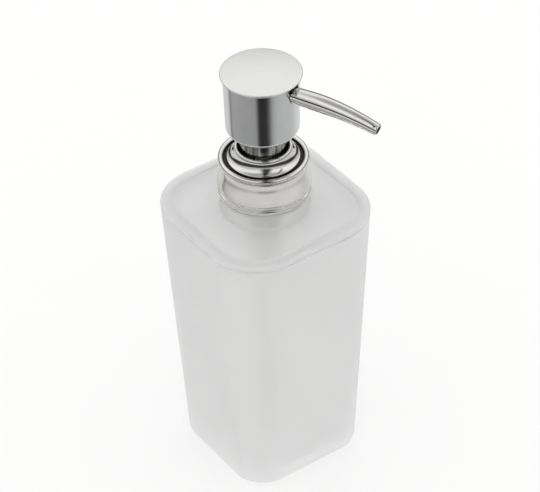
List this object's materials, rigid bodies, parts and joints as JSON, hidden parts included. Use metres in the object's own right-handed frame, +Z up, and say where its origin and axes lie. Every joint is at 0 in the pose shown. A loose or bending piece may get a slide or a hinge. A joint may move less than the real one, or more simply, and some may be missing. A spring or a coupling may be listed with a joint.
{
  "type": "soap pump dispenser",
  "caption": "Frosted square bottle, tapered with rounded corners, with a screw-on lotion pump: metal collar, push-down turning head and a slender drooping spout.",
  "frame": {"origin": "centre of the flat base, where it rests", "axes": "+Z up along the pump's axis, +X and +Y through the bottle's flat sides; at rest the spout points 24 degrees from +X towards +Y"},
  "size_m": [0.0811, 0.0698, 0.179],
  "materials": {
    "frosted": "frosted translucent",
    "chrome": "polished chrome",
    "satin": "satin metal",
    "black": "matte black",
    "natural": "natural plastic",
    "steel": "stainless wire",
    "elastomer": "soft moulded"
  },
  "bodies": {
    "bottle": {"bottle_body": "frosted", "bottle_top": "frosted"},
    "pump": {"neck_gasket": "elastomer", "pump_housing": "natural", "chaplet": "black", "chaplet_ring": "chrome", "spring_seat": "natural", "dip_tube": "natural", "main_spring": "steel"},
    "collar": {"closure": "black", "collar_shell": "chrome"},
    "plunger": {"poppet": "natural"},
    "piston": {"piston": "natural"},
    "head": {"stem": "natural", "head_core": "black", "head_sleeve": "chrome", "head_shell": "satin", "head_cap": "satin", "spout": "chrome", "spout_liner": "natural", "nozzle_tip": "black"},
    "ball": {"inlet_ball": "steel"}
  },
  "joints": [
    {"name": "pump_rise", "type": "slide", "parent": "bottle", "child": "pump", "axis": [0, 0, 1], "range_m": [0, 0.0054]},
    {"name": "collar_turn", "type": "hinge", "parent": "pump", "child": "collar", "pos_m": [0, 0, 0.132], "axis": [0, 0, 1], "range_deg": [0, 450]},
    {"name": "head_press", "type": "slide", "parent": "pump", "child": "plunger", "axis": [0, 0, -1], "range_m": [0, 0.0068], "stiffness_N_per_m": 900, "springref_m": -0.006, "deforming": ["main_spring"]},
    {"name": "piston_slip", "type": "slide", "parent": "plunger", "child": "piston", "axis": [0, 0, 1], "range_m": [0, 0.0012]},
    {"name": "head_swivel", "type": "hinge", "parent": "plunger", "child": "head", "pos_m": [0, 0, 0.16], "axis": [0, 0, 1], "continuous": true},
    {"name": "ball_lift", "type": "slide", "parent": "pump", "child": "ball", "axis": [0, 0, 1], "range_m": [0, 0.0017]}
  ],
  "couplings": [
    {"joint": "pump_rise", "follows": "collar_turn", "m_per_rad": 0.00067377}
  ]
}
